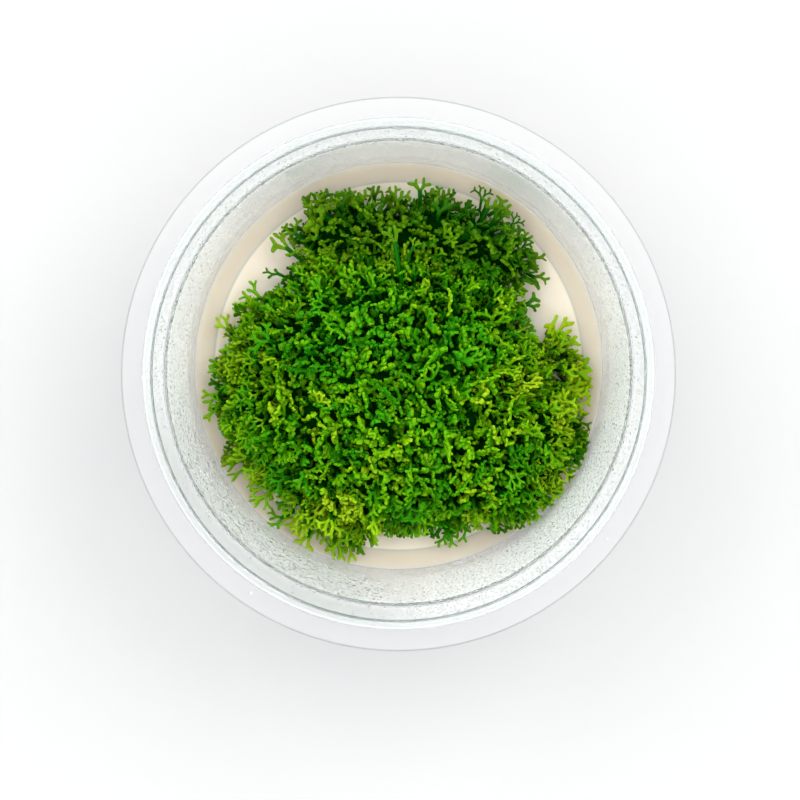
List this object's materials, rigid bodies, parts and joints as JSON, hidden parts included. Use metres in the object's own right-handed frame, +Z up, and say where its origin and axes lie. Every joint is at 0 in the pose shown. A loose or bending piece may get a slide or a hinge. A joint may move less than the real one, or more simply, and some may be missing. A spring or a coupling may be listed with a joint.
{
  "type": "crystalwort in a culture cup",
  "caption": "Cushion of forked green crystalwort fronds growing on cream nutrient gel in an open round clear plastic cup with a flat brim.",
  "frame": {"origin": "middle of the cup's base, on the surface that it stands on", "axes": "+Z up the cup's axis towards its open mouth, +Y towards the back cushion, +X towards the right tuft"},
  "size_m": [0.095, 0.095, 0.05],
  "materials": {
    "clear_plastic": "clear thermoformed sheet",
    "nutrient_gel": "wet translucent cream gel",
    "frond_green": "moist leaf with a soft gloss",
    "frond_deep_green": "moist leaf with a soft gloss",
    "frond_yellow_green": "moist leaf with a soft gloss"
  },
  "bodies": {
    "root": {"cup": "clear_plastic", "gel": "nutrient_gel", "main_cushion": "frond_green", "back_cushion": "frond_deep_green", "right_tuft": "frond_yellow_green"}
  },
  "joints": []
}
